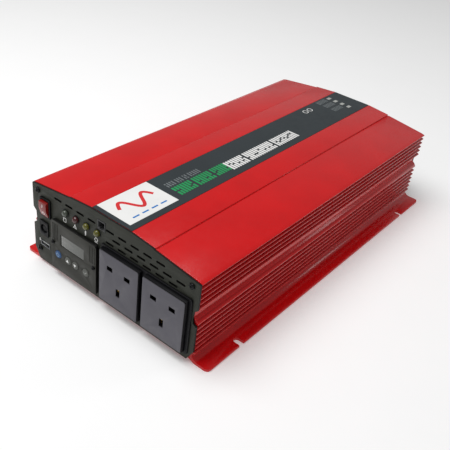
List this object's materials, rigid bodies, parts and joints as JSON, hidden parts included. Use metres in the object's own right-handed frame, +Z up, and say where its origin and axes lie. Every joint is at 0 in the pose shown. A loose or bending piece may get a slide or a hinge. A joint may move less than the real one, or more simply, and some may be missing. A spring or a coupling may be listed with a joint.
{
  "type": "power inverter",
  "caption": "Red finned case with mounting flanges, grey front panel with switch, display module and square-pin sockets, and fans and battery studs at the rear.",
  "frame": {"origin": "centre of the bounding box in plan, on the underside of the mounting flanges", "axes": "+Z up; +Y along the case from the socket end to the battery end; +X to the right seen from the socket end"},
  "size_m": [0.25, 0.4622, 0.1015],
  "materials": {
    "aluminium": "bare extrusion",
    "black_plastic": "fine texture",
    "black_screw": "black oxide",
    "brass": "turned",
    "button_blue": "silicone rubber look",
    "button_grey": "silicone rubber look",
    "capacitor_sleeve": "shrink sleeve",
    "circuit_board": "glass laminate with solder mask",
    "copper": "bare copper",
    "ferrite": "sintered ferrite",
    "label_film": "printed film",
    "lcd_glass": "clear window over a grey display",
    "lens_clear": "unlit lamp lens",
    "lens_red": "unlit lamp lens",
    "lens_yellow": "unlit lamp lens",
    "module_plastic": "fine texture",
    "panel_paint": "matte powder coat",
    "red_insulator": "satin",
    "red_paint": "satin",
    "rocker_red": "translucent look, gloss",
    "socket_plastic": "satin",
    "steel": "plated",
    "winding_tape": "polyester tape"
  },
  "bodies": {
    "casing": {"base_tray": "red_paint", "breaker_housing": "black_plastic", "bus_capacitor": "capacitor_sleeve", "busbar_negative": "copper", "busbar_positive": "copper", "display_board": "circuit_board", "display_housing": "module_plastic", "display_screw_1": "black_screw", "display_screw_2": "black_screw", "display_window": "lcd_glass", "fan_frame_left": "black_plastic", "fan_frame_right": "black_plastic", "front_panel": "panel_paint", "front_screw_1": "black_screw", "front_screw_2": "black_screw", "front_screw_3": "black_screw", "ground_stud": "brass", "heat_sink_left": "aluminium", "heat_sink_right": "aluminium", "indicator_led_1": "lens_clear", "indicator_led_2": "lens_red", "indicator_led_3": "lens_yellow", "indicator_led_4": "lens_yellow", "led_board": "circuit_board", "main_board": "circuit_board", "mains_inlet": "black_plastic", "output_choke": "copper", "rear_panel": "panel_paint", "rear_screw_1": "black_screw", "rear_screw_2": "black_screw", "rear_screw_3": "black_screw", "rear_screw_4": "black_screw", "remote_port": "black_plastic", "rocker_housing": "black_plastic", "socket_body_left": "black_plastic", "socket_body_right": "black_plastic", "socket_face_left": "socket_plastic", "socket_face_right": "socket_plastic", "socket_frame": "black_plastic", "terminal_bush_negative": "black_plastic", "terminal_bush_positive": "red_insulator", "terminal_nut_negative": "brass", "terminal_nut_positive": "brass", "terminal_stud_negative": "brass", "terminal_stud_positive": "brass", "top_cover": "red_paint", "top_label": "label_film", "transformer_core": "ferrite", "transformer_winding": "winding_tape", "usb_port": "steel"},
    "rocker": {"rocker": "rocker_red"},
    "breaker_button": {"breaker_button": "black_plastic"},
    "power_button": {"power_button": "button_blue"},
    "up_button": {"up_button": "button_grey"},
    "down_button": {"down_button": "button_grey"},
    "enter_button": {"enter_button": "button_grey"},
    "socket_shutter_left": {"socket_shutter_left": "black_plastic"},
    "socket_shutter_right": {"socket_shutter_right": "black_plastic"},
    "fan_rotor_left": {"fan_rotor_left": "black_plastic"},
    "fan_rotor_right": {"fan_rotor_right": "black_plastic"}
  },
  "joints": [
    {"name": "rocker_tilt", "type": "hinge", "parent": "casing", "child": "rocker", "pos_m": [-0.088, -0.2249, 0.0712], "axis": [-1, 0, 0], "range_deg": [0, 18]},
    {"name": "breaker_reset", "type": "slide", "parent": "casing", "child": "breaker_button", "axis": [0, -1, 0], "range_m": [0, 0.0035]},
    {"name": "power_press", "type": "slide", "parent": "casing", "child": "power_button", "axis": [0, 1, 0], "range_m": [0, 0.0008], "stiffness_N_per_m": 300, "springref_m": -0.0005},
    {"name": "up_press", "type": "slide", "parent": "casing", "child": "up_button", "axis": [0, 1, 0], "range_m": [0, 0.0008], "stiffness_N_per_m": 300, "springref_m": -0.0005},
    {"name": "down_press", "type": "slide", "parent": "casing", "child": "down_button", "axis": [0, 1, 0], "range_m": [0, 0.0008], "stiffness_N_per_m": 300, "springref_m": -0.0005},
    {"name": "enter_press", "type": "slide", "parent": "casing", "child": "enter_button", "axis": [0, 1, 0], "range_m": [0, 0.0008], "stiffness_N_per_m": 300, "springref_m": -0.0005},
    {"name": "shutter_slide_left", "type": "slide", "parent": "casing", "child": "socket_shutter_left", "axis": [0, 0, -1], "range_m": [0, 0.0065], "stiffness_N_per_m": 60, "springref_m": -0.002},
    {"name": "shutter_slide_right", "type": "slide", "parent": "casing", "child": "socket_shutter_right", "axis": [0, 0, -1], "range_m": [0, 0.0065], "stiffness_N_per_m": 60, "springref_m": -0.002},
    {"name": "fan_spin_left", "type": "hinge", "parent": "casing", "child": "fan_rotor_left", "pos_m": [-0.063, 0.1984, 0.046], "axis": [0, 1, 0], "continuous": true},
    {"name": "fan_spin_right", "type": "hinge", "parent": "casing", "child": "fan_rotor_right", "pos_m": [0, 0.1984, 0.046], "axis": [0, 1, 0], "continuous": true}
  ]
}
